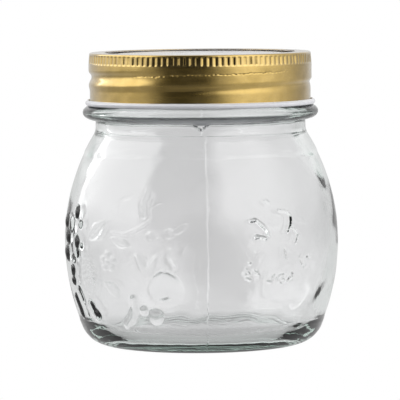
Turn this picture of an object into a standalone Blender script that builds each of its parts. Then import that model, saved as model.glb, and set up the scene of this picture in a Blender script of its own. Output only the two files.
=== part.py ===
"""A squat preserving jar of pressed glass with a screw band, a lid disc and a sealing ring.

Metres, +Z up. The origin is the centre of the circle that the jar stands on, and every piece
is turned about +Z. Azimuth 0 faces -Y and grows towards +X, so a right-hand thread climbs
with it. Outlines are (radius, height) points that run up the outside and down the inside.
"""

import math

import bmesh
import bpy

MM = 0.001
COLUMNS = 48  # facets around a turned piece; a multiple of 4 keeps its box square
SMOOTH_BELOW = math.radians(40)

# Glass body
BELLY_RADIUS = 41.35 * MM
BELLY_HEIGHT = 31.05 * MM  # where the body is widest
SHOULDER_SWEEP = 61.35 * MM  # radius of the outline's arc above the widest circle
LOWER_SWEEP = 66.3 * MM  # and below it
HEEL_RADIUS = 8.5 * MM
HEEL_START_DEG = -84  # where the heel leaves the flat standing ring
NECK_RADIUS = 31.6 * MM
NECK_FILLET = 4.7 * MM
WALL = 2.5 * MM
INNER_LOWER_SWEEP = 58.3 * MM  # rounder than the outside, so the wall thickens downwards
INNER_HEEL_RADIUS = 6.6 * MM
FLOOR_EDGE_HEIGHT = 4.2 * MM
FLOOR_CROWN = 0.9 * MM
PUSH_UP = 2.3 * MM  # how far the underside domes up from the standing ring
STANDING_RING = (27.5 * MM, 28.5 * MM)

# Bead under the closure, and the threaded finish above it
BEAD_HEIGHT = 69.9 * MM
BEAD_PROUD = 3.9 * MM
BEAD_HALF_DEPTH = 2.35 * MM
FINISH_RADIUS = 31.7 * MM
FINISH_ROWS = 14
BORE_RADIUS = 28.8 * MM
RIM_HEIGHT = 85.85 * MM
LIP_ROUND = 0.8 * MM

# Thread, shared by the glass and the band; the ends are degrees of azimuth
PITCH = 4.22 * MM
BAND_THREAD_HEIGHT = 77.5 * MM  # of the band's groove at azimuth 0
BAND_THREAD_DEPTH = 0.85 * MM
BAND_THREAD_HALF_WIDTH = 1.5 * MM
BAND_THREAD_ENDS = (-68, 335)
GLASS_THREAD_HEIGHT = BAND_THREAD_HEIGHT + PITCH / 2
GLASS_THREAD_DEPTH = 1.2 * MM
GLASS_THREAD_HALF_WIDTH = 1.2 * MM
GLASS_THREAD_ENDS = (-95, 330)
THREAD_FADE = 30

# Screw band
TOTAL_HEIGHT = 87.8 * MM
SHEET = 0.3 * MM
SKIRT_RADIUS = 33.55 * MM
SKIRT_ROWS = 12
KNURL_RADIUS = 33.4 * MM
KNURLS = 116
KNURL_DEPTH = 0.2 * MM
KNURL_SPAN = (84.4 * MM, 87.25 * MM)
KNURL_RUN_OUT = 0.3 * MM
FLANGE_BORE = 28.7 * MM
CORNER_RADIUS = 0.47 * MM
HEM_RADIUS = 33.92 * MM
HEM_HEIGHT = 73.0 * MM
HEM_HALF = (0.71 * MM, 0.8 * MM)
SKIRT_ABOVE_HEM = 1.2 * MM
SKIRT_BELOW_KNURLS = 0.55 * MM

# Lid disc and sealing ring
CLEARANCE = 0.2 * MM  # between pieces that rest on each other
DISC_RADIUS = 32.2 * MM
DISC_EDGE_TOP = TOTAL_HEIGHT - SHEET - CLEARANCE
PLATEAU_RADIUS = 24.7 * MM
PLATEAU_TOP = DISC_EDGE_TOP + 0.1 * MM
GROOVE_RADII = (25.6 * MM, 27.6 * MM)
GROOVE_TOP = DISC_EDGE_TOP - 0.5 * MM
LAND_RADIUS = 28.5 * MM  # from here outwards the disc lies flat over the seal
BUTTON_RADIUS = 9.4 * MM
BUTTON_RISE = 0.25 * MM
SEAL_RADII = (29.2 * MM, 31.7 * MM)
SEAL_ROUND = 0.25 * MM


class Thread:
    """A right-hand helical ridge of unit height that fades in and out at its ends."""

    def __init__(self, height, half_width, ends):
        self.height = height
        self.half_width = half_width
        self.ends = ends

    def __call__(self, azimuth, height):
        tallest = 0.0
        for turn in (-1, 0, 1):
            degrees = math.degrees(azimuth) + 360 * turn
            inside = min(degrees - self.ends[0], self.ends[1] - degrees)
            offset = abs(height - self.height - PITCH * degrees / 360) / self.half_width
            if inside > 0 and offset < 1:
                ridge = math.cos(offset * math.pi / 2) ** 2
                tallest = max(tallest, ridge * min(1, inside / THREAD_FADE))
        return tallest


class Station:
    """One ring of corners: its radius, its height and what each azimuth adds to the radius."""

    def __init__(self, radius, height, columns=COLUMNS, relief=None):
        self.radius = radius
        self.height = height
        self.columns = columns
        self.relief = relief

    def corners(self, bm, base):
        if self.radius == 0:
            return [bm.verts.new((0, 0, self.height - base))]
        ring = []
        for column in range(self.columns):
            azimuth = 2 * math.pi * column / self.columns
            radius = self.radius
            if self.relief:
                radius += self.relief(azimuth, self.height)
            x, y = radius * math.sin(azimuth), -radius * math.cos(azimuth)
            ring.append(bm.verts.new((x, y, self.height - base)))
        return ring


def plain(points):
    return [Station(radius, height) for radius, height in points]


def arc(centre, halves, start_deg, end_deg, steps):
    """Points on an ellipse, by angle from straight outwards, both ends included."""
    points = []
    for step in range(steps + 1):
        angle = math.radians(start_deg + (end_deg - start_deg) * step / steps)
        radius = centre[0] + halves[0] * math.cos(angle)
        points.append((radius, centre[1] + halves[1] * math.sin(angle)))
    return points


def round_arc(centre, radius, start_deg, end_deg, steps):
    return arc(centre, (radius, radius), start_deg, end_deg, steps)


def heel(sweep_centre, sweep, fillet, floor):
    """A fillet inside an arc that lands on a level floor: its centre, and the angle they meet at."""
    rise = floor + fillet - BELLY_HEIGHT
    run = math.sqrt((sweep - fillet) ** 2 - rise**2)
    return (sweep_centre + run, floor + fillet), math.degrees(math.atan2(rise, run))


def neck_turn(sweep_centre, sweep, fillet, wall):
    """A fillet outside an arc that runs up an upright wall: its centre, and the angle they meet at."""
    run = wall + fillet - sweep_centre
    rise = math.sqrt((sweep + fillet) ** 2 - run**2)
    return (wall + fillet, BELLY_HEIGHT + rise), math.degrees(math.atan2(rise, run))


def belly(widest, lower_sweep, upper_sweep, fillet, floor, wall, steps):
    """The outline of the body from its heel's fillet up to the neck, outside or inside the glass."""
    lower_centre, upper_centre = widest - lower_sweep, widest - upper_sweep
    heel_centre, low = heel(lower_centre, lower_sweep, fillet, floor)
    neck_centre, high = neck_turn(upper_centre, upper_sweep, NECK_FILLET, wall)
    points = round_arc(heel_centre, fillet, HEEL_START_DEG, low, steps)
    points += round_arc((lower_centre, BELLY_HEIGHT), lower_sweep, low, 0, steps)[1:]
    points += round_arc((upper_centre, BELLY_HEIGHT), upper_sweep, 0, high, steps + 1)[1:]
    points += round_arc(neck_centre, NECK_FILLET, 180 + high, 180, 3)[1:]
    return points


def connect(bm, low, high):
    """Faces between two rings, as quads, a fan to a pole, or triangles where the columns differ."""
    if len(low) == 1 or len(high) == 1:
        ring, pole = (high, low[0]) if len(low) == 1 else (low, high[0])
        for a, b in zip(ring, ring[1:] + ring[:1]):
            bm.faces.new((pole, b, a) if ring is high else (a, b, pole))
    elif len(low) == len(high):
        for column in range(len(low)):
            after = (column + 1) % len(low)
            bm.faces.new((low[column], low[after], high[after], high[column]))
    else:
        i = j = 0
        while i < len(low) or j < len(high):
            a, b = low[i % len(low)], high[j % len(high)]
            if j == len(high) or (i + 1) * len(high) <= (j + 1) * len(low):
                i += 1
                bm.faces.new((a, low[i % len(low)], b))
            else:
                j += 1
                bm.faces.new((a, high[j % len(high)], b))


def turned(name, stations, base, material, parent=None):
    """A solid of revolution. Its stations end on the axis, or run round to the first again."""
    bm = bmesh.new()
    rings = [station.corners(bm, base) for station in stations]
    for low, high in zip(rings, rings[1:]):
        connect(bm, low, high)
    if len(rings[0]) > 1:
        connect(bm, rings[-1], rings[0])
    mesh = bpy.data.meshes.new(name)
    bm.to_mesh(mesh)
    bm.free()
    mesh.materials.append(material)
    mesh.shade_smooth()
    mesh.set_sharp_from_angle(angle=SMOOTH_BELOW)
    piece = bpy.data.objects.new(name, mesh)
    piece.location.z = base
    if parent:
        piece.parent = parent
        piece.location.z -= parent.location.z
    bpy.context.scene.collection.objects.link(piece)
    return piece


def principled(name, colour, roughness, metallic=0.0, transmission=0.0):
    material = bpy.data.materials.new(name)
    material.use_nodes = True
    shader = material.node_tree.nodes["Principled BSDF"]
    shader.inputs["Base Color"].default_value = (*colour, 1)
    shader.inputs["Roughness"].default_value = roughness
    shader.inputs["Metallic"].default_value = metallic
    shader.inputs["Transmission Weight"].default_value = transmission
    material.diffuse_color = (*colour, 1)
    return material


def jar_stations():
    glass_thread = Thread(GLASS_THREAD_HEIGHT, GLASS_THREAD_HALF_WIDTH, GLASS_THREAD_ENDS)

    def ridge(azimuth, height):
        return GLASS_THREAD_DEPTH * glass_thread(azimuth, height)

    ring_inside, ring_outside = STANDING_RING
    underside = arc((0, 0), (ring_inside, PUSH_UP), 90, 0, 5)
    outside = belly(BELLY_RADIUS, LOWER_SWEEP, SHOULDER_SWEEP, HEEL_RADIUS, 0, NECK_RADIUS, 6)
    bead = arc((NECK_RADIUS, BEAD_HEIGHT), (BEAD_PROUD, BEAD_HALF_DEPTH), -90, 83, 7)
    inside = belly(
        BELLY_RADIUS - WALL,
        INNER_LOWER_SWEEP,
        SHOULDER_SWEEP - WALL,
        INNER_HEEL_RADIUS,
        FLOOR_EDGE_HEIGHT,
        BORE_RADIUS,
        5,
    )
    first_row = BEAD_HEIGHT + BEAD_HALF_DEPTH + 0.3 * MM
    lip_middle = RIM_HEIGHT - LIP_ROUND
    finish = []
    for row in range(FINISH_ROWS + 1):
        height = first_row + (lip_middle - first_row) * row / FINISH_ROWS
        finish.append(Station(FINISH_RADIUS, height, relief=ridge))
    lip = round_arc((FINISH_RADIUS - LIP_ROUND, lip_middle), LIP_ROUND, 30, 90, 2)
    lip += round_arc((BORE_RADIUS + LIP_ROUND, lip_middle), LIP_ROUND, 90, 180, 3)
    floor = arc((0, FLOOR_EDGE_HEIGHT), (inside[0][0] - MM, FLOOR_CROWN), 0, 90, 3)
    floor[-1] = (0, FLOOR_EDGE_HEIGHT + FLOOR_CROWN)
    underside[0] = (0, PUSH_UP)
    return (
        plain(underside + [(ring_outside, 0)] + outside + bead)
        + finish
        + plain(lip + inside[::-1] + floor)
    )


def band_stations():
    band_thread = Thread(BAND_THREAD_HEIGHT, BAND_THREAD_HALF_WIDTH, BAND_THREAD_ENDS)

    def groove(azimuth, height):
        return -BAND_THREAD_DEPTH * band_thread(azimuth, height)

    def knurl(azimuth, height):
        return KNURL_DEPTH * (math.cos(KNURLS * azimuth) - 1) / 2

    def skirt(radius):
        lowest, highest = HEM_HEIGHT + SKIRT_ABOVE_HEM, KNURL_SPAN[0] - SKIRT_BELOW_KNURLS
        rows = []
        for row in range(SKIRT_ROWS + 1):
            height = lowest + (highest - lowest) * row / SKIRT_ROWS
            rows.append(Station(radius, height, relief=groove))
        return rows

    fine = 2 * KNURLS
    low, high = KNURL_SPAN
    knurled = [
        Station(KNURL_RADIUS, low, fine),
        Station(KNURL_RADIUS, low + KNURL_RUN_OUT, fine, knurl),
        Station(KNURL_RADIUS, high - KNURL_RUN_OUT, fine, knurl),
        Station(KNURL_RADIUS, high, fine),
    ]
    hem = arc((HEM_RADIUS, HEM_HEIGHT), HEM_HALF, -150, 115, 8)
    corner_centre = (KNURL_RADIUS - CORNER_RADIUS, TOTAL_HEIGHT - CORNER_RADIUS)
    corner = round_arc(corner_centre, CORNER_RADIUS, 30, 90, 2)
    ceiling = TOTAL_HEIGHT - SHEET
    flange = [
        (FLANGE_BORE + SHEET / 3, TOTAL_HEIGHT),
        (FLANGE_BORE, TOTAL_HEIGHT - SHEET / 2),
        (FLANGE_BORE + SHEET / 3, ceiling),
        (KNURL_RADIUS - SHEET - CORNER_RADIUS, ceiling),
    ]
    wall = KNURL_RADIUS - SHEET - KNURL_DEPTH / 2
    inside = [(wall, ceiling - CORNER_RADIUS), (wall, low)]
    return (
        plain(hem)
        + skirt(SKIRT_RADIUS)
        + knurled
        + plain(corner + flange + inside)
        + skirt(SKIRT_RADIUS - SHEET)[::-1]
    )


def disc_stations():
    button = []
    for share in (0, 0.4, 0.7, 1):
        rise = BUTTON_RISE * (1 + math.cos(share * math.pi)) / 2
        button.append((BUTTON_RADIUS * share, PLATEAU_TOP + rise))
    top = button + [
        (PLATEAU_RADIUS, PLATEAU_TOP),
        (GROOVE_RADII[0], GROOVE_TOP),
        (GROOVE_RADII[1], GROOVE_TOP),
        (LAND_RADIUS, DISC_EDGE_TOP),
        (DISC_RADIUS, DISC_EDGE_TOP),
    ]
    under = [(radius, height - SHEET) for radius, height in top]
    return plain(under + top[::-1])


def seal_stations():
    inner, outer = SEAL_RADII
    low = RIM_HEIGHT + CLEARANCE
    high = DISC_EDGE_TOP - SHEET - CLEARANCE
    points = []
    for radius, height, start in (
        (outer - SEAL_ROUND, low + SEAL_ROUND, -90),
        (outer - SEAL_ROUND, high - SEAL_ROUND, 0),
        (inner + SEAL_ROUND, high - SEAL_ROUND, 90),
        (inner + SEAL_ROUND, low + SEAL_ROUND, 180),
    ):
        points += round_arc((radius, height), SEAL_ROUND, start, start + 90, 2)
    return plain(points)


def build():
    for old in list(bpy.data.objects):
        bpy.data.objects.remove(old)

    glass = principled("pressed_glass", (0.82, 0.87, 0.85), 0.03, transmission=1.0)
    gold = principled("gold_lacquer", (0.72, 0.53, 0.16), 0.28, metallic=1.0)
    plastisol = principled("plastisol", (0.80, 0.80, 0.77), 0.55)

    closure = bpy.data.objects.new("closure_axis", None)
    closure.location.z = RIM_HEIGHT
    bpy.context.scene.collection.objects.link(closure)

    turned("jar_body", jar_stations(), 0, glass)
    turned("sealing_ring", seal_stations(), RIM_HEIGHT, plastisol, closure)
    turned("lid_disc", disc_stations(), DISC_EDGE_TOP - SHEET, gold, closure)
    turned("screw_band", band_stations(), HEM_HEIGHT, gold, closure)


build()
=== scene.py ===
"""The looks of a squat preserving jar: embossed glass, a gold screw band, a lid disc and a seal.

Metres, +Z up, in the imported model's frame. Azimuth 0 faces -Y and grows towards +X. Outlines
are (radius, height) points that run up the outside of a turned piece and down its inside.
"""

import math

import bpy
import numpy as np
from mathutils import Matrix, Vector


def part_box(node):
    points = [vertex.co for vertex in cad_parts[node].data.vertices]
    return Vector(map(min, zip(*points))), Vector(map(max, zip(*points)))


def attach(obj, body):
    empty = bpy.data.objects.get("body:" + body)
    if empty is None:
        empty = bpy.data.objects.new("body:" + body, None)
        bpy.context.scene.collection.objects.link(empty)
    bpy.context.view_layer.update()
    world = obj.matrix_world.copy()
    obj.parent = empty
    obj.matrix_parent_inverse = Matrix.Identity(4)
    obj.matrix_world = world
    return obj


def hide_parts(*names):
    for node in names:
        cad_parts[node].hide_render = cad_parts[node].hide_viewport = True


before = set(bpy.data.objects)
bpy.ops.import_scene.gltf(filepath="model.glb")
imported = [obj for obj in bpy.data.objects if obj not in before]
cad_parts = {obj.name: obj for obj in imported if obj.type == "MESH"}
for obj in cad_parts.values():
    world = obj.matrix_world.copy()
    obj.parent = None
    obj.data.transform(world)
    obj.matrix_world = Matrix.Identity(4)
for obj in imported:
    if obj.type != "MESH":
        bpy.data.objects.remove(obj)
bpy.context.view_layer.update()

MM = 0.001
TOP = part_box("screw_band")[1][2]
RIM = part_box("jar_body")[1][2]
BELLY_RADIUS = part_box("jar_body")[1][0]
DISC_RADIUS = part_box("lid_disc")[1][0]
SEAL_LOW, SEAL_HIGH = (corner[2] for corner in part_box("sealing_ring"))

# Glass
BELLY_HEIGHT = 31.05 * MM
SHOULDER_SWEEP = 61.35 * MM
LOWER_SWEEP = 66.3 * MM
HEEL_RADIUS = 8.5 * MM
NECK_RADIUS = 31.6 * MM
NECK_FILLET = 4.7 * MM
WALL = 2.5 * MM
INNER_LOWER_SWEEP = 58.3 * MM
INNER_HEEL_RADIUS = 6.6 * MM
FLOOR_EDGE_HEIGHT = 4.2 * MM
FLOOR_CROWN = 0.9 * MM
PUSH_UP = 2.3 * MM
STANDING_RING = (27.5 * MM, 28.5 * MM)
BEAD_HEIGHT = 69.9 * MM
BEAD_PROUD = 3.9 * MM
BEAD_HALF_DEPTH = 2.35 * MM
FINISH_RADIUS = 31.7 * MM
BORE_RADIUS = 28.8 * MM
LIP_ROUND = 0.8 * MM
SEAM_DEG = 2.5  # the mould's parting line, and again on the far side
NECK_SEAM_DEG = 0.3  # the neck ring parts a little to one side of the belly mould
SEAM_PROUD = 0.22 * MM
NECK_LINE_HEIGHT = 64.1 * MM  # where the belly mould meets the neck ring
NECK_LINE_PROUD = 0.07 * MM
WEDGE_DROP = 2.0 * MM
WEDGE_HALF_WIDTH = 2.0 * MM
WEDGE_PROUD = 0.45 * MM
WAVINESS = 0.15 * MM  # of the inside
RELIEF_SUNK = 0.15 * MM
RELIEF_SPAN = (8 * MM, 58 * MM)
RELIEF_WANDER = 0.13 * MM  # how far the pattern's edges stray from their drawn lines

# Threads
PITCH = 4.22 * MM
BAND_THREAD_HEIGHT = 77.5 * MM
BAND_THREAD_DEPTHS = (0.14 * MM, 0.85 * MM)  # at first, and where the rolls ran out
BAND_THREAD_HALF_WIDTHS = (1.6 * MM, 1.3 * MM)  # below and above its middle, at first
BAND_THREAD_LAST_WIDTHS = (3.4 * MM, 1.7 * MM)
BAND_THREAD_WIDENS = (10, 240)  # degrees, as are the ends and fades
BAND_THREAD_ENDS = (-50, 345)
BAND_THREAD_FADE_IN = 80
GLASS_THREAD_HEIGHT = BAND_THREAD_HEIGHT + PITCH / 2
GLASS_THREAD_DEPTH = 1.2 * MM
GLASS_THREAD_HALF_WIDTHS = (1.2 * MM, 1.2 * MM)
GLASS_THREAD_ENDS = (-95, 330)
THREAD_FADE = 30

# Sheet metal: gold lacquer on one side, white on the other
SHEET = 0.28 * MM
LAYER_GAP = 0.01 * MM
SKIRT_RADIUS = 33.55 * MM
SKIRT_TUCK = 0.3 * MM  # how much narrower it is below the groove
TUCK_CLIMB = ((0, 2.3, 3.9, 2 * math.pi), (0, 0.36, -0.38, 0))  # azimuths, and its edge in pitches
KNURL_RADIUS = 33.33 * MM
KNURL_FLARE = 0.2 * MM  # wider at the foot of the knurls
KNURLS = 116
KNURL_DEPTH = 0.19 * MM
KNURL_SPAN = (84.4 * MM, 87.3 * MM)
FLANGE_BORE = 28.7 * MM
CORNER_RADIUS = 0.5 * MM
CHATTER_MARKS = 52  # short dashes that the rolls left above the groove
CHATTER_SPAN = (81.2 * MM, 82.6 * MM)
HEM_RADIUS = 33.95 * MM
HEM_HEIGHT = 72.86 * MM
HEM_HALF = (0.68 * MM, 0.85 * MM)
COLUMNS_PER_KNURL = 6
BACK_ROWS = 3  # the hidden back of a layer keeps one row in this many

# Lid disc and seal
PLATEAU_RADIUS = 24.7 * MM
PLATEAU_RISE = 0.1 * MM
GROOVE_RADII = (25.6 * MM, 27.6 * MM)
GROOVE_DEPTH = 0.08 * MM
LAND_RADIUS = 28.5 * MM
BUTTON_RADIUS = 9.4 * MM
BUTTON_RISE = 0.25 * MM
SEAL_RADII = (29.2 * MM, 31.7 * MM)
SEAL_ROUND = 0.25 * MM

BRIGHTEST = 4.5  # the studio's brightest level
FLOOR_RADIUS = 300 * MM


def smooth_step(share):
    share = np.clip(share, 0, 1)
    return share * share * (3 - 2 * share)


def wrapped(angles):
    """The same angles between minus and plus half a turn."""
    return (angles + math.pi) % (2 * math.pi) - math.pi


def arc(centre, halves, start_deg, end_deg, spacing):
    """Points on an ellipse by angle from straight outwards, both ends included."""
    sweep = math.radians(abs(end_deg - start_deg))
    steps = max(2, math.ceil(sweep * max(halves) / spacing))
    angles = np.radians(np.linspace(start_deg, end_deg, steps + 1))
    return np.stack(
        [centre[0] + halves[0] * np.cos(angles), centre[1] + halves[1] * np.sin(angles)], axis=1
    )


def round_arc(centre, radius, start_deg, end_deg, spacing):
    return arc(centre, (radius, radius), start_deg, end_deg, spacing)


def line(start, end, spacing):
    """Points along a straight stretch, without its ends."""
    start, end = np.array(start), np.array(end)
    steps = max(1, math.ceil(np.linalg.norm(end - start) / spacing))
    shares = np.linspace(0, 1, steps + 1)[1:-1, None]
    return start + (end - start) * shares


def normals_of(outline):
    """Unit normals of an outline in its own plane, to the right of the way it runs."""
    along = np.gradient(outline, axis=0)
    along /= np.maximum(np.linalg.norm(along, axis=1, keepdims=True), 1e-12)
    return np.stack([along[:, 1], -along[:, 0]], axis=1)


def belly(widest, lower_sweep, upper_sweep, heel, floor, wall, spacing):
    """The body's outline from the heel's fillet up to the neck, outside or inside the glass."""
    lower, upper = widest - lower_sweep, widest - upper_sweep
    rise = floor + heel - BELLY_HEIGHT
    run = math.sqrt((lower_sweep - heel) ** 2 - rise**2)
    low = math.degrees(math.atan2(rise, run))
    reach = wall + NECK_FILLET - upper
    climb = math.sqrt((upper_sweep + NECK_FILLET) ** 2 - reach**2)
    high = math.degrees(math.atan2(climb, reach))
    return np.concatenate(
        [
            round_arc((lower + run, floor + heel), heel, -84, low, spacing),
            round_arc((lower, BELLY_HEIGHT), lower_sweep, low, 0, spacing)[1:],
            round_arc((upper, BELLY_HEIGHT), upper_sweep, 0, high, spacing)[1:],
            round_arc(
                (wall + NECK_FILLET, BELLY_HEIGHT + climb), NECK_FILLET, 180 + high, 180, spacing
            )[1:],
        ]
    )


def ridge_of(height, widths_at, ends, fade_in, azimuths, heights):
    """A right-hand helical ridge of unit height that fades at its ends, over a grid.

    widths_at gives its half widths below and above its middle for an angle in degrees.
    The ridge's middle is at height where the angle is 0.
    """
    tallest = np.zeros(np.broadcast(azimuths, heights).shape)
    for turn in (-1, 0, 1):
        degrees = np.degrees(azimuths) + 360 * turn
        offset = heights - height - PITCH * degrees / 360
        offset = np.abs(offset) / np.where(offset < 0, *widths_at(degrees))
        ridge = np.cos(np.minimum(offset, 1) * math.pi / 2) ** 2
        fade = np.minimum((degrees - ends[0]) / fade_in, (ends[1] - degrees) / THREAD_FADE)
        tallest = np.maximum(tallest, ridge * smooth_step(fade))
    return tallest


def glass_thread(azimuths, heights):
    def widths_at(degrees):
        return GLASS_THREAD_HALF_WIDTHS

    return ridge_of(GLASS_THREAD_HEIGHT, widths_at, GLASS_THREAD_ENDS, THREAD_FADE, azimuths, heights)


def band_thread(azimuths, heights):
    """How deep the rolls pressed the band's groove, in metres."""
    start, end = BAND_THREAD_WIDENS

    def widths_at(degrees):
        share = smooth_step((degrees - start) / (end - start))
        pairs = zip(BAND_THREAD_HALF_WIDTHS, BAND_THREAD_LAST_WIDTHS)
        return [first + (last - first) * share for first, last in pairs]

    ridge = ridge_of(
        BAND_THREAD_HEIGHT, widths_at, BAND_THREAD_ENDS, BAND_THREAD_FADE_IN, azimuths, heights
    )
    climbed = (heights - BAND_THREAD_HEIGHT) / PITCH * 360
    share = smooth_step((climbed - start) / (end - start))
    shallow, deep = BAND_THREAD_DEPTHS
    return ridge * (shallow + (deep - shallow) * share)


def mesh_of(name, corners, faces, material, smooth_below=35):
    mesh = bpy.data.meshes.new(name)
    mesh.from_pydata(corners.tolist(), [], faces)
    mesh.materials.append(material)
    mesh.shade_smooth()
    mesh.set_sharp_from_angle(angle=math.radians(smooth_below))
    piece = bpy.data.objects.new(name, mesh)
    bpy.context.scene.collection.objects.link(piece)
    return piece


def turned(name, radii, heights, azimuths, material, poles=None):
    """A closed solid from a grid of radii and heights (stations by azimuths).

    With poles, (height of the first, height of the last), it is closed on the axis.
    Without, its last station joins its first.
    """
    stations, columns = radii.shape
    corners = np.stack(
        [radii * np.sin(azimuths), -radii * np.cos(azimuths), heights], axis=2
    ).reshape(-1, 3)
    rows = np.arange(stations - 1 if poles else stations)
    row, next_row = columns * rows[:, None], columns * ((rows + 1) % stations)[:, None]
    here = np.arange(columns)
    after = (here + 1) % columns
    faces = np.stack([row + here, row + after, next_row + after, next_row + here], axis=2)
    faces = faces.reshape(-1, 4).tolist()
    if poles:
        first, last = len(corners), len(corners) + 1
        corners = np.concatenate([corners, [(0, 0, poles[0]), (0, 0, poles[1])]])
        top = (stations - 1) * columns
        for a in range(columns):
            b = (a + 1) % columns
            faces.append((first, b, a))
            faces.append((last, top + a, top + b))
    return mesh_of(name, corners, faces, material)


def resample(outline, spacing_of):
    """Points along an outline, as far apart as spacing_of(radii, heights) says."""
    lengths = np.linalg.norm(np.diff(outline, axis=0), axis=1)
    middles = (outline[1:] + outline[:-1]) / 2
    steps = lengths / spacing_of(middles[:, 0], middles[:, 1])
    so_far = np.concatenate([[0], np.cumsum(steps)])
    targets = np.linspace(0, so_far[-1], math.ceil(so_far[-1]) + 1)
    return np.stack([np.interp(targets, so_far, outline[:, k]) for k in (0, 1)], axis=1)


def even_azimuths(columns):
    return np.arange(columns) * 2 * math.pi / columns


def glass_azimuths():
    """Columns that are closer over the finest pattern, and closest across the mould seams."""

    def spacing(degrees, _):
        crisp = (degrees > 13) & (degrees < 54)
        edge = (degrees > -82) & (degrees < -52)
        return np.where(crisp, 0.3, np.where(edge, 0.4, 0.58))

    round_once = np.stack([np.linspace(-180, 180, 3601), np.zeros(3601)], axis=1)
    columns = np.radians(resample(round_once, spacing)[:-1, 0])
    extra = np.linspace(-0.6, 0.6, 13)
    middles = [SEAM_DEG, NECK_SEAM_DEG, SEAM_DEG - 180, NECK_SEAM_DEG - 180]
    seams = np.radians(np.concatenate([middle + extra for middle in middles]))
    apart = np.abs(columns[:, None] - seams).min(axis=1) > math.radians(0.08)
    return np.sort(np.concatenate([columns[apart], seams]))


def waves(azimuths, heights, seed, count, most_round, shortest):
    """A smooth random ripple of about unit height that joins up round the axis."""
    draws = np.random.default_rng(seed)
    total = np.zeros(np.broadcast(azimuths, heights).shape)
    for _ in range(count):
        around = draws.integers(0, most_round + 1)
        along = draws.uniform(-1, 1) / shortest
        total += np.cos(around * azimuths + 2 * math.pi * (along * heights + draws.uniform(0, 1)))
    return total / math.sqrt(count)


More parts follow.
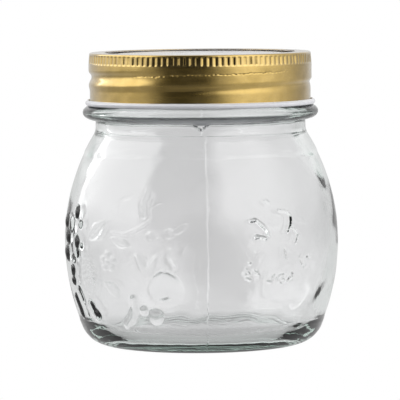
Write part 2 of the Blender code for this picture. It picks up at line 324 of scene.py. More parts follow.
class Relief:
    """The pattern cut in the mould, as millimetres proud of the belly over a grid of points."""

    def __init__(self, azimuths, heights):
        level = heights[:, None]
        sideways, upward = (waves(azimuths, level, seed, 30, 60, 4 * MM) for seed in (61, 62))
        self.azimuths = azimuths + RELIEF_WANDER / BELLY_RADIUS * sideways
        self.heights = level + RELIEF_WANDER * upward
        self.proud = np.zeros((len(heights), len(azimuths)))

    def around(self, place, tilt_deg=0):
        """Millimetres across and along a motif from its middle, at (azimuth in degrees, height)."""
        azimuth, height = math.radians(place[0]), place[1]
        x, y = wrapped(self.azimuths - azimuth) * BELLY_RADIUS / MM, self.heights / MM - height
        c, s = math.cos(math.radians(tilt_deg)), math.sin(math.radians(tilt_deg))
        return x * c + y * s, y * c - x * s

    def raise_to(self, proud):
        self.proud = np.maximum(self.proud, proud)

    def swell(self, q, rise, sharpness=2):
        """A pad that is rise high at q = 0 and ends at q = 1."""
        self.raise_to(rise * np.sqrt(np.clip(1 - np.abs(q) ** sharpness, 0, None)))

    def ball(self, place, size, rise=0.6, stretch=1.0, tilt_deg=0):
        x, y = self.around(place, tilt_deg)
        self.swell(np.hypot(x / size, y / (size * stretch)), rise)

    def fruit(self, place, size, tilt_deg=0):
        """A round fruit with a dimple, a ringed edge and a short stalk."""
        x, y = self.around(place, tilt_deg)
        q = np.hypot(x / size, y / (size * 0.94))
        self.swell(q, 0.9, 2.2)
        dimple = np.exp(-((x / (0.42 * size)) ** 2) - ((y + 0.36 * size) / (0.2 * size)) ** 2)
        crease = np.exp(-(((x - 0.1 * size * np.cos(y / size)) / 0.35) ** 2)) * (y > 0.1 * size)
        self.proud -= np.where(q < 0.97, 0.55 * dimple + 0.16 * crease, 0)
        self.stem(place, (0.15 * size, 0.9 * size), (0.4 * size, 1.35 * size), tilt_deg, 0.4)

    def ribbed(self, place, half_width, half_height):
        """A low oval pad with fine level ribs."""
        x, y = self.around(place)
        q = np.hypot(x / half_width, y / half_height)
        ribs = 0.1 * np.cos(2 * math.pi * (y + 0.08 * x**2) / 1.6)
        self.raise_to((0.25 + ribs) * np.sqrt(np.clip(1 - q**4, 0, None)))

    def leaf(self, place, length, width, tilt_deg=0, rise=0.5):
        """A pointed leaf with a midrib and side veins."""
        x, y = self.around(place, tilt_deg)
        along = 2 * y / length
        half = width / 2 * np.clip(1 - along**2, 0, None) ** 0.8 * (1 - 0.25 * along)
        q = np.where(half > 0.02, np.abs(x) / np.maximum(half, 0.02), 2)
        veins = 0.5 + 0.5 * np.cos(2 * math.pi * (y - 0.9 * np.abs(x)) / (0.19 * length))
        cut = 0.28 * np.exp(-((x / 0.3) ** 2)) + 0.1 * veins**4
        inside = np.sqrt(np.clip(1 - q**4, 0, None))
        self.raise_to(np.clip(rise - cut, 0, None) * inside)

    def stem(self, place, start, end, tilt_deg=0, width=0.6, bend=0.0):
        """A raised line between two points in a motif's own millimetres, bowed by bend."""
        x, y = self.around(place, tilt_deg)
        (x0, y0), (x1, y1) = start, end
        length = math.hypot(x1 - x0, y1 - y0)
        ux, uy = (x1 - x0) / length, (y1 - y0) / length
        along = (x - x0) * ux + (y - y0) * uy
        share = np.clip(along / length, 0, 1)
        aside = (x - x0) * uy - (y - y0) * ux - 4 * bend * share * (1 - share)
        beyond = along - np.clip(along, 0, length)
        self.swell(np.hypot(aside, beyond) / width, 0.7 * width)

    def pod(self, place, length, width, tilt_deg=0, bend=1.0):
        x, y = self.around(place, tilt_deg)
        share = np.clip(y / length + 0.5, 0, 1)
        aside = x - 4 * bend * share * (1 - share)
        beyond = np.abs(y) - np.minimum(np.abs(y), length / 2)
        self.swell(np.hypot(aside, beyond) / (width / 2), 0.6, 2.5)

    def blossom(self, place, size):
        for petal in range(5):
            angle = math.radians(72 * petal)
            x, y = size * math.sin(angle), size * math.cos(angle)
            turn = math.degrees(x * MM / BELLY_RADIUS)
            self.ball((place[0] + turn, place[1] + y), 0.62 * size, 0.45)
        self.ball(place, 0.5 * size, 0.65)

    def stroke(self, place, points, width, rise):
        """A sharp ridge along points given in a motif's own millimetres."""
        x, y = self.around(place)
        nearest = np.full(x.shape, np.inf)
        for (x0, y0), (x1, y1) in zip(points, points[1:]):
            along = (x - x0) * (x1 - x0) + (y - y0) * (y1 - y0)
            share = np.clip(along / ((x1 - x0) ** 2 + (y1 - y0) ** 2), 0, 1)
            apart = np.hypot(x - x0 - share * (x1 - x0), y - y0 - share * (y1 - y0))
            nearest = np.minimum(nearest, apart)
        self.swell(nearest / width, rise)

    def soften(self, passes):
        """Rounds the edges, as the flame does."""
        for _ in range(passes):
            side = (np.roll(self.proud, 1, axis=1) + np.roll(self.proud, -1, axis=1)) / 2
            self.proud = (self.proud + side) / 2
            padded = np.pad(self.proud, ((1, 1), (0, 0)), mode="edge")
            self.proud = (self.proud * 2 + padded[2:] + padded[:-2]) / 4


def orchard(relief, turn):
    """The orchard group of one mould half, turned round the jar by turn degrees."""

    def at(azimuth, height):
        return azimuth + turn, height

    relief.ribbed(at(-55.5, 22.5), 3.6, 6.6)
    relief.leaf(at(-49, 36.5), 9, 4.4, -50)
    relief.blossom(at(-42, 27.5), 2.0)
    relief.leaf(at(-36, 33.5), 7, 3.2, 75)
    relief.leaf(at(-41, 19.5), 7, 3.4, 58)
    relief.fruit(at(-15.8, 20.0), 5.4, 8)
    relief.ball(at(-20.5, 11.6), 2.2, 0.6)
    relief.ball(at(-26, 13.4), 1.2, 0.5)
    relief.pod(at(-33, 12.8), 8.5, 2.6, -28, 1.2)
    relief.leaf(at(-25.5, 27), 7.5, 2.6, 28, 0.75)
    relief.leaf(at(-21, 26.5), 7.5, 2.4, -24, 0.75)
    relief.pod(at(-12.5, 29), 5.0, 1.5, 14, -0.9)
    relief.ball(at(-13.5, 36.2), 1.7, 0.5)
    relief.leaf(at(-8.5, 37.8), 5.8, 1.9, -58)
    relief.ball(at(-21, 35.5), 1.3, 0.45)
    relief.leaf(at(-7.5, 31.5), 3.6, 0.9, -35)
    relief.stem(at(-30, 39), (-7, -3), (6, 1), 0, 0.45, 1.4)


def berries(relief):
    """Loose berries and pods on the front only, most of them at its left edge."""
    places = [(-66, 41.3, 1.9), (-70, 37.4, 2.2), (-78, 38.1, 1.9), (-74.5, 33.6, 2.0)]
    places += [(-64, 32.5, 1.9), (-61, 37.7, 1.2), (-63.5, 29.2, 1.7), (-76.5, 28.4, 2.1)]
    places += [(-59.5, 31.3, 1.0), (-67.5, 27.2, 1.2), (-70, 23.6, 1.6), (-70.5, 20.4, 1.3)]
    relief.pod((-24.5, 44.5), 6.2, 2.4, 0, -0.8)
    for azimuth, height, size in places:
        relief.ball((azimuth, height), size, 0.9, 1.15, 9)
    relief.pod((-65, 16.4), 3.4, 1.9, 28, 0.3)
    relief.pod((-71.5, 12.6), 5.0, 2.6, 16, 0.4)
    relief.ball((-57.2, 12.7), 2.0, 0.9, 1.3)
    relief.ball((-54.8, 10.9), 2.2, 0.9, 0.8)


def panel(relief, turn):
    """The group on the other side of the seam: a curled leaf and a bowed stalk over a garland."""

    def at(azimuth, height):
        return azimuth + turn, height

    curl = [(-3.2, 2.6), (-1.3, 2.6), (0.5, 1.3), (1.9, -0.3), (2.6, -1.6), (1.7, -2.4), (-1.9, -2.3)]
    relief.stroke(at(24.6, 37.1), curl, 0.44, 1.5)
    relief.stroke(at(24.6, 37.1), [(-0.2, 2.2), (1.5, 1.0), (2.3, -0.7)], 0.36, 1.3)
    stalk = [(-3.3, 3.0), (-0.5, 2.7), (0.7, 1.4), (0.8, -0.3), (0.4, -1.9), (-0.7, -3.4)]
    relief.stroke(at(38.9, 39.3), stalk, 0.4, 0.8)
    relief.stroke(at(38.9, 39.3), [(1.2, -1.9), (3.5, -4.3), (2.1, -6.7)], 0.36, 0.6)
    relief.stroke(at(29, 45), [(-0.7, 0.4), (0.8, -0.4)], 0.4, 0.8)
    relief.stroke(at(36.3, 29.5), [(-0.4, 1.5), (0.4, -1.5)], 0.34, 0.6)
    draws = np.random.default_rng(17)
    for count, azimuths, heights, rise in (
        (11, (17, 25), (21.8, 27), 0.75),
        (15, (28.8, 41.6), (20.7, 24), 0.75),
        (9, (43.9, 51), (25.4, 29), 0.4),
    ):
        for _ in range(count):
            place = at(draws.uniform(*azimuths), draws.uniform(*heights))
            angle, reach = draws.uniform(-1.2, 1.2), draws.uniform(0.3, 0.9)
            tip = (reach * math.cos(angle), reach * math.sin(angle))
            relief.stroke(place, [(-tip[0], -tip[1]), tip], 0.34, draws.uniform(0.4, 1) * rise)


def belly_relief(azimuths, heights):
    """How far the pattern stands from the CAD's belly, in metres. It is weaker at the back."""
    proud = -RELIEF_SUNK
    for turn, share in ((0, 0.9), (180, 0.25)):
        relief = Relief(azimuths, heights)
        orchard(relief, turn)
        panel(relief, turn)
        if turn == 0:
            berries(relief)
        relief.soften(1)
        proud = proud + share * relief.proud * MM
    return proud


def seam(azimuths, heights):
    """The parting lines of the mould: fine upright ridges that wander a little and come and go."""
    wander = 0.0028 * np.sin(heights / (3.3 * MM)) + 0.0022 * np.sin(heights / (1.15 * MM) + 2)
    wander = wander + 0.0016 * np.sin(heights / (0.45 * MM))
    neck = heights > NECK_LINE_HEIGHT
    across = np.radians(np.where(neck, NECK_SEAM_DEG, SEAM_DEG)) + wander
    strength = 0.7 + 0.2 * np.sin(heights / (3.1 * MM) + 1)
    strength = strength + 0.4 * smooth_step((32 * MM - heights) / (20 * MM))
    total = 0
    for turn, share in ((0, 1), (math.pi, 0.35)):
        apart = wrapped(azimuths - across - turn)
        total = total + share * strength * np.exp(-((apart * BELLY_RADIUS / (0.17 * MM)) ** 2))
    return total


def glass_outline():
    """The glass from the axis under the jar, over the rim and down the inside to the axis again.

    Returns the outline and the share of the outer and inner walls' relief that each point takes.
    """
    fine, coarse = 0.4 * MM, 1.1 * MM

    def outer_spacing(radii, heights):
        parting = np.abs(heights - NECK_LINE_HEIGHT) < 0.5 * MM
        crisp = (heights > 20 * MM) & (heights < 46 * MM)
        patterned = (heights > 8 * MM) & (heights < 50 * MM)
        wall = np.where(crisp, 0.26 * MM, np.where(patterned, fine, 1.8 * fine))
        return np.where(parting, 0.09 * MM, wall)

    underside = arc((0, 0), (STANDING_RING[0], PUSH_UP), 89, 0, 0.9 * MM)
    wall = belly(BELLY_RADIUS, LOWER_SWEEP, SHOULDER_SWEEP, HEEL_RADIUS, 0, NECK_RADIUS, 0.2 * MM)
    bead = arc((NECK_RADIUS, BEAD_HEIGHT), (BEAD_PROUD, BEAD_HALF_DEPTH), -90, 83, 0.2 * MM)
    outside = np.concatenate([[(STANDING_RING[1], 0)], wall, bead])
    outside = resample(outside, outer_spacing)
    lip_middle = RIM - LIP_ROUND
    finish = line((FINISH_RADIUS, BEAD_HEIGHT + BEAD_HALF_DEPTH), (FINISH_RADIUS, lip_middle), fine)
    lip = np.concatenate(
        [
            round_arc((FINISH_RADIUS - LIP_ROUND, lip_middle), LIP_ROUND, 0, 90, 0.2 * MM),
            round_arc((BORE_RADIUS + LIP_ROUND, lip_middle), LIP_ROUND, 90, 180, 0.2 * MM),
        ]
    )
    cavity = belly(
        BELLY_RADIUS - WALL,
        INNER_LOWER_SWEEP,
        SHOULDER_SWEEP - WALL,
        INNER_HEEL_RADIUS,
        FLOOR_EDGE_HEIGHT,
        BORE_RADIUS,
        0.5 * MM,
    )
    inside = np.concatenate([[lip[-1]], cavity[::-1]])
    inside = resample(inside, lambda radii, heights: np.full(radii.shape, coarse))[1:]
    floor = arc((0, FLOOR_EDGE_HEIGHT), (inside[-1][0] - MM, FLOOR_CROWN), 0, 89, coarse)
    outline = np.concatenate([underside, outside, finish, lip, inside, floor])
    outer = np.zeros(len(outline))
    outer[len(underside) : len(underside) + len(outside)] = 1
    inner = np.zeros(len(outline))
    inner[-len(inside) - len(floor) :] = 1
    return outline, outer, inner


def glass(material):
    """The jar: one pressed glass solid with its pattern, thread, seams and uneven inside."""
    outline, outer, inner = glass_outline()
    azimuths = glass_azimuths()
    heights = outline[:, 1]
    proud = np.zeros((len(outline), len(azimuths)))
    patterned = (outer > 0) & (heights > RELIEF_SPAN[0]) & (heights < RELIEF_SPAN[1])
    proud[patterned] = belly_relief(azimuths, heights[patterned])

    z = heights[:, None]
    standing = smooth_step(z / (3 * MM))
    above_bead = (heights > BEAD_HEIGHT + BEAD_HALF_DEPTH) & (heights < RIM)
    finish = above_bead & (outline[:, 0] > FINISH_RADIUS - 1e-9)
    outside = np.maximum(outer, finish)[:, None]
    proud += SEAM_PROUD * seam(azimuths, z) * outside * standing
    line_shape = np.exp(-(((z - NECK_LINE_HEIGHT) / (0.12 * MM)) ** 2))
    proud += NECK_LINE_PROUD * line_shape * outer[:, None]
    proud += wedge(azimuths, z) * outer[:, None]
    proud += GLASS_THREAD_DEPTH * glass_thread(azimuths, z) * finish[:, None]

    within = smooth_step((z - 5 * MM) / (12 * MM)) * smooth_step((70 * MM - z) / (10 * MM))
    uneven = waves(azimuths, z, 7, 14, 7, 26 * MM) + 0.35 * waves(azimuths, z, 8, 20, 22, 9 * MM)
    proud += WAVINESS * uneven * (0.25 + 0.75 * within) * inner[:, None]
    soft = 0.12 * WAVINESS * waves(azimuths, z, 9, 24, 34, 6 * MM)
    proud += soft * outer[:, None] * standing
    heel = smooth_step(z / MM) * smooth_step((9 * MM - z) / (4 * MM))
    proud += 0.01 * MM * waves(azimuths, z, 11, 26, 44, 4 * MM) * heel * outer[:, None]

    normals = normals_of(outline)
    radii = outline[:, :1] + normals[:, :1] * proud
    heights = z + normals[:, 1:] * proud
    poles = (PUSH_UP, FLOOR_EDGE_HEIGHT + FLOOR_CROWN)
    return turned("glass_jar", radii, heights, azimuths, material, poles)


def wedge(azimuths, heights):
    """The small pointed pad that hangs under the bead at each seam."""
    root = BEAD_HEIGHT - BEAD_HALF_DEPTH
    drop = np.clip((root - heights) / WEDGE_DROP, 0, 1)
    total = 0
    for turn in (0, math.pi):
        apart = wrapped(azimuths - math.radians(NECK_SEAM_DEG) - turn)
        half = np.maximum(WEDGE_HALF_WIDTH * (1 - drop), 0.05 * MM)
        pad = np.exp(-((np.abs(apart) * NECK_RADIUS / half) ** 8)) * (1 - drop**9)
        total = total + np.where(heights < root + 0.4 * MM, WEDGE_PROUD * pad, 0)
    return total


def layer(name, path, proud, azimuths, material, outer, inner):
    """A closed sheet that follows a path, from one depth under its gold side to another."""
    normals = normals_of(path)[:, :, None]
    surface = np.stack([path[:, :1] + proud, np.broadcast_to(path[:, 1:], proud.shape)], axis=1)
    front = surface + normals * outer
    back = surface + normals * inner
    keep = np.unique(np.append(np.arange(0, len(path), BACK_ROWS), len(path) - 1))
    sheet = np.concatenate([front, back[keep][::-1]])
    if outer < inner:
        sheet = sheet[::-1]
    return turned(name, sheet[:, 0], sheet[:, 1], azimuths, material)


def band_path():
    """The band's gold side, from the flange's inner edge to the curl's raw edge."""
    low = KNURL_SPAN[0]
    bend = (KNURL_RADIUS - CORNER_RADIUS, TOP - CORNER_RADIUS)
    corner = round_arc(bend, CORNER_RADIUS, 90, 0, 0.13 * MM)
    roll = (HEM_HALF[0] - SHEET, HEM_HALF[1] - SHEET)
    curl = arc((HEM_RADIUS, HEM_HEIGHT), roll, 180, 436, 0.1 * MM)
    flange = line((FLANGE_BORE, TOP), corner[0], 0.7 * MM)
    foot = KNURL_RADIUS + KNURL_FLARE
    ribs = line(corner[-1], (foot, low), 0.22 * MM)
    skirt = line((foot, low), (SKIRT_RADIUS, HEM_HEIGHT + 0.3 * MM), 0.1 * MM)
    skirt[:, 0] = foot + (SKIRT_RADIUS - foot) * smooth_step((low - skirt[:, 1]) / (0.7 * MM))

    def spacing(radii, heights):
        chattered = (heights > CHATTER_SPAN[0]) & (heights < CHATTER_SPAN[1])
        return np.where(chattered, 0.11 * MM, 0.3 * MM)

    skirt = resample(skirt, spacing)
    return np.concatenate(
        [[(FLANGE_BORE, TOP)], flange, corner, ribs, [(foot, low)], skirt, curl]
    )


def band_relief(path, azimuths):
    """What the rolling tools pressed into the band: its groove, ribs, chatter marks and small dents."""
    z = path[:, 1:]
    upright = smooth_step((TOP - 0.15 * MM - z) / (0.5 * MM)) * (path[:, :1] > KNURL_RADIUS - 0.1 * MM)
    skirt = smooth_step((z - HEM_HEIGHT - 0.1 * MM) / (0.5 * MM)) * upright
    groove = band_thread(azimuths, z)

    low, high = KNURL_SPAN
    draws = np.random.default_rng(21)
    rib = np.arange(len(azimuths)) // COLUMNS_PER_KNURL
    uneven = 1 + 0.25 * draws.uniform(-1, 1, KNURLS + 1)[rib]
    valley = (0.5 - 0.5 * np.cos(KNURLS * azimuths)) ** 2.4 * uneven
    ends = smooth_step((z - low) / (0.45 * MM)) * smooth_step((high - z) / (0.35 * MM))

    along = np.degrees(azimuths) + 360
    marks = np.zeros(z.shape[0:1] + azimuths.shape)
    for n in range(CHATTER_MARKS):
        turn = 322 + 98 * n / CHATTER_MARKS + draws.uniform(-0.6, 0.6)
        height = BAND_THREAD_HEIGHT + PITCH * turn / 360 + 0.15 * MM + draws.uniform(-0.13, 0.13) * MM
        apart = (along - turn + 180) % 360 - 180
        across = np.radians(apart) * SKIRT_RADIUS / (draws.uniform(0.22, 0.4) * MM)
        strength = draws.uniform(0.2, 1) * smooth_step((turn - 318) / 20) * smooth_step((420 - turn) / 30)
        marks -= strength * np.exp(-(across**2) - ((z - height) / (0.13 * MM)) ** 2)
    out_of_round = 0.04 * MM * waves(azimuths, z, 31, 8, 5, 30 * MM)
    dents = 0.012 * MM * waves(azimuths, z, 32, 30, 40, 4 * MM)
    below = BAND_THREAD_HEIGHT + PITCH * np.interp(azimuths, *TUCK_CLIMB) + 1.7 * MM
    tuck = SKIRT_TUCK * smooth_step((below - z) / (2 * MM))
    pressed = (0.4 * MM * marks - groove - tuck) * skirt
    return pressed - KNURL_DEPTH * valley * ends * upright + (dents + out_of_round) * skirt


def band(gold, white):
    """The screw band's two sides: the gold outside, and the white inside that shows on the curl."""
    path = band_path()
    azimuths = even_azimuths(COLUMNS_PER_KNURL * KNURLS)
    proud = band_relief(path, azimuths)
    middle = SHEET / 2
    outside = layer("band_outside", path, proud, azimuths, gold, 0, middle - LAYER_GAP / 2)
    lining = layer("band_lining", path, proud, azimuths, white, SHEET, middle + LAYER_GAP / 2)
    return outside, lining


def disc_path():
    """The lid disc's upper side, from near the axis to its turned-down edge."""
    edge_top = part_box("lid_disc")[1][2] - BUTTON_RISE - PLATEAU_RISE
    plateau = edge_top + PLATEAU_RISE
    groove = edge_top - GROOVE_DEPTH
    shares = np.linspace(0.03, 1, 14)
    button = np.stack(
        [BUTTON_RADIUS * shares, plateau + BUTTON_RISE * (1 + np.cos(shares * math.pi)) / 2], axis=1
    )
    turns = [
        (BUTTON_RADIUS + 0.4 * MM, plateau),
        (PLATEAU_RADIUS, plateau),
        (GROOVE_RADII[0], groove),
        (GROOVE_RADII[1], groove),
        (LAND_RADIUS, edge_top),
        (DISC_RADIUS - 0.2 * MM, edge_top),
        (DISC_RADIUS, edge_top - 0.2 * MM),
    ]
    path = [button]
    for start, end in zip(turns, turns[1:]):
        path += [[start], line(start, end, 0.25 * MM)]
    path = np.concatenate(path + [[turns[-1]]])
    for _ in range(6):
        path[1:-1] = (path[:-2] + 2 * path[1:-1] + path[2:]) / 4
    return path


def disc(gold, white):
    """The lid disc's two sides, each closed over the axis."""
    path = disc_path()
    azimuths = even_azimuths(240)
    ripple = 0.01 * MM * waves(azimuths, path[:, :1], 41, 12, 6, 9 * MM)
    normals = normals_of(path)
    pieces = []
    for name, material, upper, lower in (
        ("disc_top", gold, 0, SHEET / 2 - LAYER_GAP / 2),
        ("disc_underside", white, SHEET / 2 + LAYER_GAP / 2, SHEET),
    ):
        sides = [path + normals * upper, path + normals * lower]
        outline = np.concatenate([sides[1], sides[0][::-1]])
        heights = outline[:, 1:] + np.concatenate([ripple, ripple[::-1]])
        radii = np.broadcast_to(outline[:, :1], heights.shape)
        poles = (float(heights[0].mean()), float(heights[-1].mean()))
        pieces.append(turned(name, radii, heights, azimuths, material, poles))
    return pieces


def seal(material):
    """The ring of flowed-in sealing compound, with a soft uneven inner edge."""
    inner, outer = SEAL_RADII
    corners = (
        (outer - SEAL_ROUND, SEAL_LOW + SEAL_ROUND, -90),
        (outer - SEAL_ROUND, SEAL_HIGH - SEAL_ROUND, 0),
        (inner + SEAL_ROUND, SEAL_HIGH - SEAL_ROUND, 90),
        (inner + SEAL_ROUND, SEAL_LOW + SEAL_ROUND, 180),
    )
    outline = []
    for radius, height, start in corners:
        outline.append(round_arc((radius, height), SEAL_ROUND, start, start + 90, 0.06 * MM))
    outline = np.concatenate(outline)
    azimuths = even_azimuths(360)
    flow = 0.12 * MM * waves(azimuths, outline[:, 1:], 51, 16, 24, 20 * MM)
    inward = (outline[:, :1] < (inner + outer) / 2) * 1.0
    radii = outline[:, :1] + flow * inward
    heights = np.broadcast_to(outline[:, 1:], radii.shape)
    return turned("seal", radii, heights, azimuths, material)


def add(tree, kind, inputs=(), **settings):
    """A shader node with its settings, and its inputs given as values or as sockets to link."""
    node = tree.nodes.new(kind)
    for key, value in settings.items():
        setattr(node, key, value)
    for key, value in dict(inputs).items():
        if isinstance(value, bpy.types.NodeSocket):
            tree.links.new(value, node.inputs[key])
        else:
            node.inputs[key].default_value = value
    return node


def maths(tree, operation, *values):
    return add(tree, "ShaderNodeMath", enumerate(values), operation=operation).outputs[0]


def ramp(tree, factor, stops, interpolation="LINEAR"):
    """A colour ramp from (position, grey or colour) stops."""
    node = add(tree, "ShaderNodeValToRGB", {"Fac": factor})
    elements = node.color_ramp.elements
    node.color_ramp.interpolation = interpolation
    while len(elements) < len(stops):
        elements.new(1)
    for element, (position, colour) in zip(elements, stops):
        element.position = position
        rgb = colour if isinstance(colour, tuple) else (colour, colour, colour)
        element.color = (*rgb, 1)
    return node.outputs["Color"]


def principled(name, **constants):
    """A new material: its node tree and its shader, with the given constants on the shader."""
    material = bpy.data.materials.new(name)
    material.use_nodes = True
    tree = material.node_tree
    shader = tree.nodes["Principled BSDF"]
    for key, value in constants.items():
        shader.inputs[key.replace("_", " ")].default_value = value
    return material, tree, shader


def place_of(tree, kind="Object"):
    return add(tree, "ShaderNodeTexCoord").outputs[kind]


def around_axis(tree, place):
    """Sockets for a place's azimuth, its distance from the axis and its height."""
    x, y, z = add(tree, "ShaderNodeSeparateXYZ", {0: place}).outputs
    azimuth = maths(tree, "ARCTAN2", x, maths(tree, "MULTIPLY", y, -1.0))
    squares = [maths(tree, "MULTIPLY", side, side) for side in (x, y)]
    return azimuth, maths(tree, "SQRT", maths(tree, "ADD", *squares)), z


def texture(tree, vector, scale, detail=3.0, roughness=0.5, stretch=(1, 1, 1), turn=(0, 0, 0)):
    mapped = add(
        tree, "ShaderNodeMapping", {"Vector": vector, "Scale": stretch, "Rotation": turn}
    ).outputs[0]
    values = {"Vector": mapped, "Scale": scale, "Detail": detail, "Roughness": roughness}
    return add(tree, "ShaderNodeTexNoise", values).outputs["Fac"]


def spread(tree, value, low, high, to_low=0.0, to_high=1.0):
    values = {"Value": value, "From Min": low, "From Max": high, "To Min": to_low, "To Max": to_high}
    return add(tree, "ShaderNodeMapRange", values).outputs[0]


def blended(tree, factor, low, high):
    return add(tree, "ShaderNodeMix", {0: factor, 6: low, 7: high}, data_type="RGBA").outputs[2]


def bump(tree, height, distance, strength=1.0, normal=None):
    values = {"Height": height, "Distance": distance, "Strength": strength}
    if normal:
        values["Normal"] = normal
    return add(tree, "ShaderNodeBump", values).outputs[0]


def pressed_glass():
    material, tree, shader = principled(
        "pressed_glass", Transmission_Weight=1.0, IOR=1.52, Roughness=0.0
    )
    place = place_of(tree)
    cloud = texture(tree, place, 60, 2)
    tint = ramp(tree, cloud, [(0.3, (0.992, 0.981, 0.99)), (0.7, (1.0, 0.989, 0.998))])
    tree.links.new(tint, shader.inputs["Base Color"])
    chill = texture(tree, place, 900, 2, stretch=(1, 1, 0.45))
    slow = texture(tree, place, 170, 2)
    surface = bump(tree, chill, 0.00001, 0.4, bump(tree, slow, 0.00004, 0.5))
    tree.links.new(surface, shader.inputs["Normal"])
    depth = add(
        tree, "ShaderNodeVolumeAbsorption", {"Color": (0.52, 0.7, 0.62, 1), "Density": 25.0}
    )
    output = tree.nodes["Material Output"]
    tree.links.new(depth.outputs[0], output.inputs["Volume"])
    return material


def gold_lacquer(name, printed=False):
    """Tinplate under clear gold lacquer: rolling grain, hair scratches, and a painted highlight that
    makes the rib tops a paler gold.

    With printed, the plateau of the lid has a plain white print.
    """
    material, tree, shader = principled(
        name, Metallic=1.0, Coat_Weight=0.8, Coat_Roughness=0.12, Coat_IOR=1.5
    )
    place = place_of(tree)
    azimuth, radius, z = around_axis(tree, place)
    around = maths(tree, "MULTIPLY", azimuth, SKIRT_RADIUS)
    flat = add(tree, "ShaderNodeCombineXYZ", {0: around, 1: z, 2: radius}).outputs[0]
    grain = texture(tree, flat, 900, 4, 0.7, (0.09, 1, 1), (0, 0, math.radians(38)))
    hairs = texture(tree, flat, 420, 6, 0.85, (0.03, 1.4, 1), (0, 0, math.radians(-31)))
    mottle = texture(tree, place, 240, 4, 0.6)
    tones = [(0.3, (0.41, 0.28, 0.07)), (0.5, (0.45, 0.31, 0.085)), (0.72, (0.50, 0.35, 0.105))]
    colour = ramp(tree, mottle, tones)
    # Painted highlight: the outermost faces of the ribs, from their foot up, are blended a little towards
    # a paler gold.
    painted_rib_highlight = spread(tree, radius, KNURL_RADIUS - 0.04 * MM, KNURL_RADIUS + 0.12 * MM)
    upper = spread(tree, z, KNURL_SPAN[0] - 0.2 * MM, KNURL_SPAN[0])
    painted_rib_highlight = maths(tree, "MULTIPLY", maths(tree, "MULTIPLY", painted_rib_highlight, upper), 0.15)
    colour = blended(tree, painted_rib_highlight, colour, (0.75, 0.6, 0.33, 1))
    rough = spread(tree, grain, 0.3, 0.7, 0.2, 0.28)
    glossier = maths(tree, "SUBTRACT", 1.0, maths(tree, "MULTIPLY", upper, 0.4))
    rough = maths(tree, "MULTIPLY", rough, glossier)
    surface = bump(tree, hairs, 0.00001, 0.5, bump(tree, grain, 0.00002, 0.6))
    if printed:
        ink = printed_plateau(tree, radius)
        colour = blended(tree, ink, colour, (0.52, 0.5, 0.49, 1))
        metallic = spread(tree, ink, 0, 1, 1.0, 0.0)
        tree.links.new(metallic, shader.inputs["Metallic"])
    tree.links.new(colour, shader.inputs["Base Color"])
    tree.links.new(rough, shader.inputs["Roughness"])
    tree.links.new(surface, shader.inputs["Normal"])
    return material


def printed_plateau(tree, radius):
    """Where the white print lies: a disc with two fine gold rings left open near its edge."""
    inside = spread(tree, radius, PLATEAU_RADIUS + 0.7 * MM, PLATEAU_RADIUS + 0.55 * MM)
    for ring in (PLATEAU_RADIUS - 1.7 * MM, PLATEAU_RADIUS - 2.3 * MM):
        off = maths(tree, "ABSOLUTE", maths(tree, "SUBTRACT", radius, ring))
        inside = maths(tree, "MULTIPLY", inside, spread(tree, off, 0.1 * MM, 0.16 * MM))
    return inside


def white_lacquer():
    material, tree, shader = principled(
        "white_lacquer", Coat_Weight=0.6, Coat_Roughness=0.12, Coat_IOR=1.5
    )
    place = place_of(tree)
    mottle = texture(tree, place, 300, 4, 0.6)
    tone = ramp(tree, mottle, [(0.3, (0.62, 0.62, 0.66)), (0.7, (0.72, 0.72, 0.75))])
    tree.links.new(tone, shader.inputs["Base Color"])
    tree.links.new(spread(tree, mottle, 0.3, 0.7, 0.28, 0.42), shader.inputs["Roughness"])
    orange_peel = texture(tree, place, 1100, 2)
    tree.links.new(bump(tree, orange_peel, 0.00002, 0.5), shader.inputs["Normal"])
    return material


def plastisol():
    material, tree, shader = principled("plastisol", Subsurface_Weight=0.15, Subsurface_Scale=0.001)
    mottle = texture(tree, place_of(tree), 420, 5, 0.65)
    tone = ramp(tree, mottle, [(0.3, (0.66, 0.65, 0.60)), (0.7, (0.78, 0.77, 0.73))])
    tree.links.new(tone, shader.inputs["Base Color"])
    tree.links.new(spread(tree, mottle, 0.3, 0.7, 0.45, 0.65), shader.inputs["Roughness"])
    tree.links.new(bump(tree, mottle, 0.00008, 0.6), shader.inputs["Normal"])
    return material


def round_ramp(tree, azimuth, stops):
    """A brightness that changes with azimuth, from (degrees, level) stops."""
    turn = spread(tree, azimuth, -math.pi, math.pi)
    scaled = [((degrees + 180) / 360, level / BRIGHTEST) for degrees, level in stops]
    return ramp(tree, turn, scaled)


def below_horizon(tree, azimuth):
    """The studio's ground, which the far part of the floor fades into."""
    behind, side, front = 0.7, 0.6, 0.2
    stops = [(-180, behind), (-138, behind), (-120, side), (-55, side), (-40, front), (8, front)]
    stops += [(40, 0.9), (100, 0.9), (138, behind), (180, behind)]
    return round_ramp(tree, azimuth, stops)


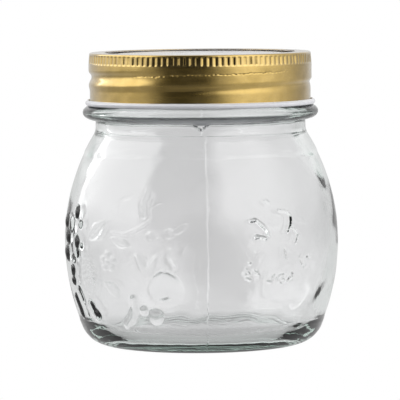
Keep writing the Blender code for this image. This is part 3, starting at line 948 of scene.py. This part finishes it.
def studio():
    """A white tent with a bright panel each side, seen by everything but the camera's own rays.

    Behind the jar it is light grey, and in front a dark gap is left for the camera.
    """
    world = bpy.data.worlds.new("studio")
    world.use_nodes = True
    tree = world.node_tree
    tree.nodes.clear()
    azimuth, _, z = around_axis(tree, place_of(tree, "Generated"))
    behind = 0.695
    stops = [(-180, behind), (-148, behind), (-125, 1.0), (-84, 1.15), (-64, 0.85), (-52, 0.55)]
    stops += [(-41, 0.15), (-34, 0.02), (6, 0.02), (22, 0.55), (44, 1.9), (66, 1.7), (94, 1.05)]
    stops += [(112, 0.7), (130, 0.5), (150, behind), (180, behind)]
    level = round_ramp(tree, azimuth, stops)
    high, front = 0.9, 0.1
    stops = [(-180, high), (-136, high), (-133, 4.5), (-129, 4.5), (-126, 2.2), (-57, 2.2)]
    stops += [(-50, front), (6, front), (26, 2.2), (70, 2.2), (100, 1.1), (130, high), (180, high)]
    panels = round_ramp(tree, azimuth, stops)
    level = blended(tree, spread(tree, z, 0.03, 0.22), level, panels)
    overhead = add(tree, "ShaderNodeRGB").outputs[0]
    overhead.default_value = (0.7 / BRIGHTEST,) * 3 + (1,)
    level = blended(tree, spread(tree, z, 0.86, 0.96), level, overhead)
    level = blended(tree, spread(tree, z, -0.03, -0.12), level, below_horizon(tree, azimuth))
    seen = add(tree, "ShaderNodeLightPath").outputs["Is Camera Ray"]
    lit = add(tree, "ShaderNodeBackground", {"Color": level, "Strength": BRIGHTEST})
    plain = add(tree, "ShaderNodeBackground", {"Color": (1, 1, 1, 1), "Strength": 1.0})
    either = add(tree, "ShaderNodeMixShader", {0: seen, 1: lit.outputs[0], 2: plain.outputs[0]})
    output = add(tree, "ShaderNodeOutputWorld")
    tree.links.new(either.outputs[0], output.inputs["Surface"])
    bpy.context.scene.world = world


def floor():
    """A pale disc just under the standing ring, darker where the jar shades it.

    The camera sees it as plain white, and nothing sees it from below.
    """
    angles = even_azimuths(96)
    level = np.full(len(angles), -0.02 * MM)
    around = [FLOOR_RADIUS * np.sin(angles), -FLOOR_RADIUS * np.cos(angles), level]
    corners = np.stack(around, axis=1)
    material = bpy.data.materials.new("pale_floor")
    material.use_nodes = True
    tree = material.node_tree
    tree.nodes.clear()
    azimuth, distance, _ = around_axis(tree, place_of(tree))
    shade = [(0, 0.38), (0.2, 0.38), (0.27, 0.55), (0.34, 0.73), (1, 0.77)]
    shade = [(position, level / BRIGHTEST) for position, level in shade]
    near = ramp(tree, spread(tree, distance, 0, 3 * BELLY_RADIUS), shade)
    away = spread(tree, distance, 2 * BELLY_RADIUS, 3.3 * BELLY_RADIUS)
    level = blended(tree, away, near, below_horizon(tree, azimuth))
    seen = add(tree, "ShaderNodeLightPath").outputs["Is Camera Ray"]
    pale = add(tree, "ShaderNodeEmission", {"Color": level, "Strength": BRIGHTEST})
    bright = add(tree, "ShaderNodeEmission", {"Color": (1, 1, 1, 1), "Strength": 1.0})
    either = add(tree, "ShaderNodeMixShader", {0: seen, 1: pale.outputs[0], 2: bright.outputs[0]})
    from_below = add(tree, "ShaderNodeNewGeometry").outputs["Backfacing"]
    clear = add(tree, "ShaderNodeBsdfTransparent")
    one_sided = add(
        tree, "ShaderNodeMixShader", {0: from_below, 1: either.outputs[0], 2: clear.outputs[0]}
    )
    output = add(tree, "ShaderNodeOutputMaterial")
    tree.links.new(one_sided.outputs[0], output.inputs["Surface"])
    mesh_of("floor", corners, [tuple(range(len(corners)))], material)


def camera():
    """A long lens about a metre off, a little above the jar, and turned slightly on its axis."""
    place = Vector((0, -0.9996, 0.1183))
    target = Vector((-0.00035, 0, 0.04306))
    data = bpy.data.cameras.new("camera")
    data.lens = 298.8
    data.sensor_width = 36
    data.clip_start = 0.01
    viewer = bpy.data.objects.new("camera", data)
    looking = (target - place).to_track_quat("-Z", "Y").to_matrix().to_4x4()
    roll = Matrix.Rotation(math.radians(-0.5), 4, "Z")
    viewer.matrix_world = Matrix.Translation(place) @ looking @ roll
    bpy.context.scene.collection.objects.link(viewer)
    bpy.context.scene.camera = viewer


jar = glass(pressed_glass())
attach(jar, "jar")
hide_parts("jar_body")

white = white_lacquer()
outside, lining = band(gold_lacquer("gold_lacquer"), white)
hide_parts("screw_band")
for piece in (outside, lining):
    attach(piece, "band")

top, underside = disc(gold_lacquer("disc_lacquer", printed=True), white)
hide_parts("lid_disc")
compound = seal(plastisol())
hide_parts("sealing_ring")
for piece in (top, underside, compound):
    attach(piece, "lid")

studio()
floor()
camera()

scene = bpy.context.scene
scene.view_settings.view_transform = "Standard"
scene.cycles.max_bounces = 24
scene.cycles.transmission_bounces = 20
scene.cycles.glossy_bounces = 8
scene.cycles.diffuse_bounces = 3
